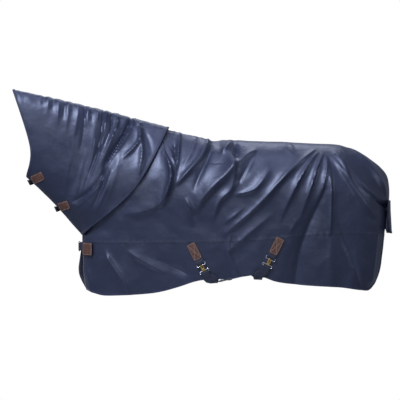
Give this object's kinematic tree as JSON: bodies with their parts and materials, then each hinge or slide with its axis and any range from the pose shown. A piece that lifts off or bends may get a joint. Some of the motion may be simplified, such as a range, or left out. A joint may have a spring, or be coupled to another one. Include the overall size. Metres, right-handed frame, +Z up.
{
  "type": "horse turnout rug",
  "caption": "Waterproof turnout rug with a neck cover, crossed belly straps with T-hook fasteners, leather patches and a tail flap, shaped as on a standing horse.",
  "frame": {"origin": "at the withers, on the horse's back under the rug's front top edge", "axes": "+X towards the tail, +Z up, -Y is the horse's left (near) side"},
  "size_m": [2.3024, 0.6674, 1.2474],
  "materials": {
    "shell": "coated plain-weave polyester, slightly glossy",
    "lining": "matt polyester lining",
    "binding": "woven tape",
    "leather": "brown imitation leather with pale stitching",
    "webbing": "woven polyester webbing",
    "nickel": "nickel-plated steel",
    "brass": "cast brass"
  },
  "bodies": {
    "rug": {"back_lining": "lining", "back_panel": "shell", "chest_hook_loop": "nickel", "chest_t_hook": "brass", "front_slot_loop": "nickel", "front_slot_plate": "brass", "near_front_surcingle_patch": "leather", "near_front_tab": "webbing", "near_hem_binding": "binding", "near_lower_lining": "lining", "near_lower_panel": "shell", "near_rear_surcingle_patch": "leather", "near_rear_tab": "webbing", "near_shoulder_lining": "lining", "near_shoulder_panel": "shell", "off_chest_lining": "lining", "off_chest_panel": "shell", "off_chest_patch": "leather", "off_chest_tab": "webbing", "off_front_surcingle_patch": "leather", "off_hem_binding": "binding", "off_lower_lining": "lining", "off_lower_panel": "shell", "off_rear_surcingle_patch": "leather", "off_shoulder_lining": "lining", "off_shoulder_panel": "shell", "rear_slot_loop": "nickel", "rear_slot_plate": "brass"},
    "near_chest_flap": {"near_chest_panel": "shell", "near_chest_lining": "lining", "near_chest_patch": "leather", "near_chest_tab": "webbing", "chest_slot_loop": "nickel", "chest_slot_plate": "brass"},
    "neck_cover": {"near_front_neck_patch": "leather", "near_neck_lining": "lining", "near_neck_panel": "shell", "near_rear_neck_patch": "leather", "off_front_neck_patch": "leather", "off_neck_lining": "lining", "off_neck_panel": "shell", "off_rear_neck_patch": "leather"},
    "front_throat_strap": {"front_throat_strap": "webbing"},
    "rear_throat_strap": {"rear_throat_strap": "webbing"},
    "tail_flap": {"tail_flap": "shell"},
    "front_belly_strap": {"front_belly_strap": "webbing", "front_t_hook": "brass", "front_hook_loop": "nickel"},
    "rear_belly_strap": {"rear_belly_strap": "webbing", "rear_t_hook": "brass", "rear_hook_loop": "nickel"},
    "front_slider": {"front_slider": "nickel"},
    "rear_slider": {"rear_slider": "nickel"}
  },
  "joints": [
    {"name": "neck_cover_lift", "type": "hinge", "parent": "rug", "child": "neck_cover", "pos_m": [0.0564, 0, -0.01], "axis": [0, 1, 0], "range_deg": [0, 35]},
    {"name": "near_chest_opening", "type": "hinge", "parent": "rug", "child": "near_chest_flap", "pos_m": [-0.2464, -0.21206, -0.86], "axis": [0, 0, 1], "range_deg": [0, 75]},
    {"name": "tail_flap_lift", "type": "hinge", "parent": "rug", "child": "tail_flap", "pos_m": [1.3999, 0, -0.451], "axis": [0, -1, 0], "range_deg": [0, 100]},
    {"name": "front_strap_swing", "type": "hinge", "parent": "rug", "child": "front_belly_strap", "pos_m": [0.67144, 0.32388, -0.77473], "axis": [0.8987, 0.0119, -0.4383], "range_deg": [0, 75]},
    {"name": "rear_strap_swing", "type": "hinge", "parent": "rug", "child": "rear_belly_strap", "pos_m": [0.23306, 0.28421, -0.80838], "axis": [0.8818, 0.1435, 0.4493], "range_deg": [0, 50]},
    {"name": "front_slider_slide", "type": "slide", "parent": "front_belly_strap", "child": "front_slider", "axis": [0.4541, 0.8906, 0.0247], "range_m": [-0.04, 0.03]},
    {"name": "rear_slider_slide", "type": "slide", "parent": "rear_belly_strap", "child": "rear_slider", "axis": [-0.4499, 0.8822, -0.1388], "range_m": [-0.04, 0.03]},
    {"name": "front_throat_opening", "type": "hinge", "parent": "neck_cover", "child": "front_throat_strap", "pos_m": [-0.80279, -0.01, -0.34478], "axis": [-0.4695, 0, 0.8829], "range_deg": [0, 70]},
    {"name": "rear_throat_opening", "type": "hinge", "parent": "neck_cover", "child": "rear_throat_strap", "pos_m": [-0.6401, -0.01, -0.50661], "axis": [-0.4384, 0, 0.8988], "range_deg": [0, 70]}
  ]
}
